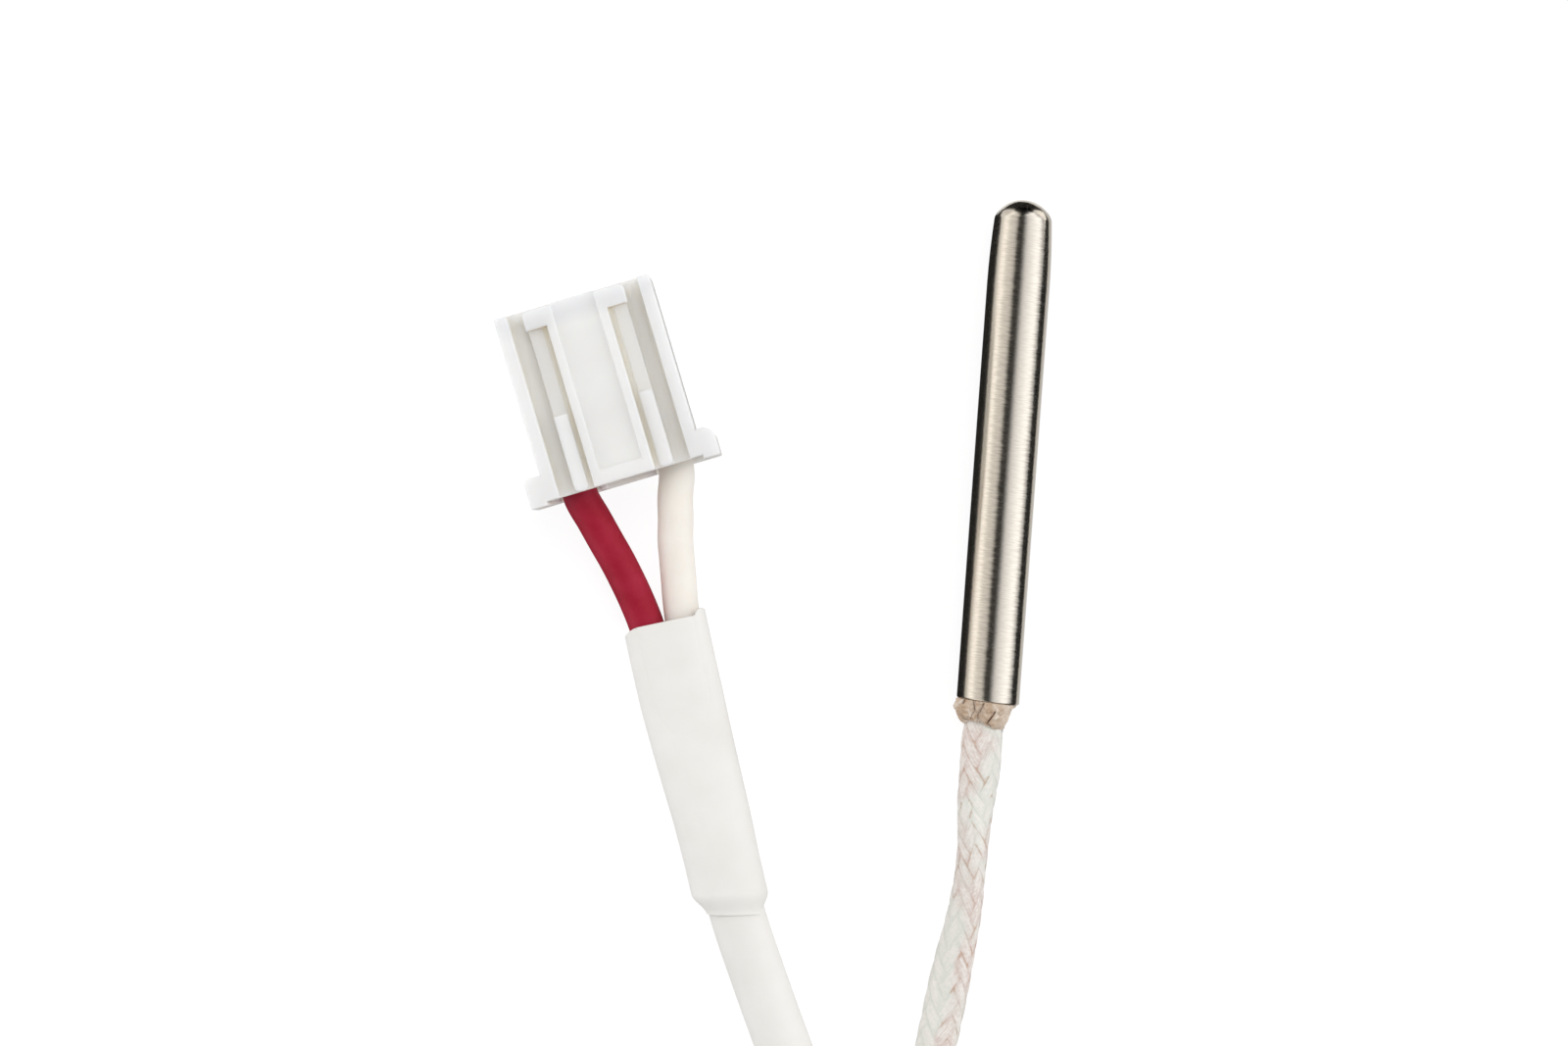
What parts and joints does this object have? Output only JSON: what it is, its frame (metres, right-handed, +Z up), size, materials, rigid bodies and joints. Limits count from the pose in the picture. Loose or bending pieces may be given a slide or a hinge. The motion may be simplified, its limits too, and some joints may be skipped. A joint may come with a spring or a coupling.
{
  "type": "resistance temperature detector probe",
  "caption": "Temperature probe: a domed steel sheath on a braided two-core lead, with a white crimp-contact plug housing at the lead's other end.",
  "frame": {"origin": "on the surface it lies on, under the middle of the probe head, which is the sheath with its potting", "axes": "+Y along the sheath's axis towards its domed tip, +Z up from the surface, +X to the right, away from the plug"},
  "size_m": [0.0389, 0.0894, 0.0085],
  "materials": {
    "sheath_steel": "satin, fine cross-wise brushing",
    "liner_film": "polyimide film",
    "filler_cement": "cast cement",
    "chip_ceramic": "fired alumina",
    "track_platinum": "thin metal film",
    "cover_glass": "fired glass glaze",
    "bead_ceramic": "fired glass ceramic",
    "element_wire": "drawn platinum-clad wire",
    "tinned_copper": "dull tin plating",
    "core_red_cover": "thin extruded cover",
    "core_white_cover": "thin extruded cover",
    "lead_braid": "braided glass yarn",
    "potting_cement": "matte cement, cracked",
    "tie_nylon": "moulded",
    "shrink_sleeve": "shrunk sleeve, satin",
    "wire_red_rubber": "silicone, satin",
    "wire_white_rubber": "silicone, satin",
    "contact_tin": "tin-plated stamped bronze",
    "housing_nylon": "natural nylon, moulded, slightly translucent"
  },
  "bodies": {
    "root": {"sheath": "sheath_steel", "liner_tube": "liner_film", "tip_filler": "filler_cement", "element_chip": "chip_ceramic", "platinum_track": "track_platinum", "glass_cover": "cover_glass", "lead_bead": "bead_ceramic", "element_lead_red": "element_wire", "element_lead_white": "element_wire", "ferrule_red": "tinned_copper", "ferrule_white": "tinned_copper", "joint_sleeve_red": "liner_film", "joint_sleeve_white": "liner_film", "core_red": "core_red_cover", "core_white": "core_white_cover", "core_strands_red": "tinned_copper", "core_strands_white": "tinned_copper", "braid_end": "lead_braid", "potting_plug": "potting_cement", "lead_run_probe": "lead_braid", "lead_coil": "lead_braid", "coil_tie": "tie_nylon", "lead_run_plug": "lead_braid", "narrow_sleeve": "shrink_sleeve", "wide_sleeve": "shrink_sleeve", "core_tail_red": "core_red_cover", "core_tail_white": "core_white_cover", "splice_red": "tinned_copper", "splice_white": "tinned_copper", "wire_red": "wire_red_rubber", "wire_white": "wire_white_rubber", "conductor_red": "tinned_copper", "conductor_white": "tinned_copper", "contact_red": "contact_tin", "contact_white": "contact_tin", "plug_housing": "housing_nylon"}
  },
  "joints": []
}
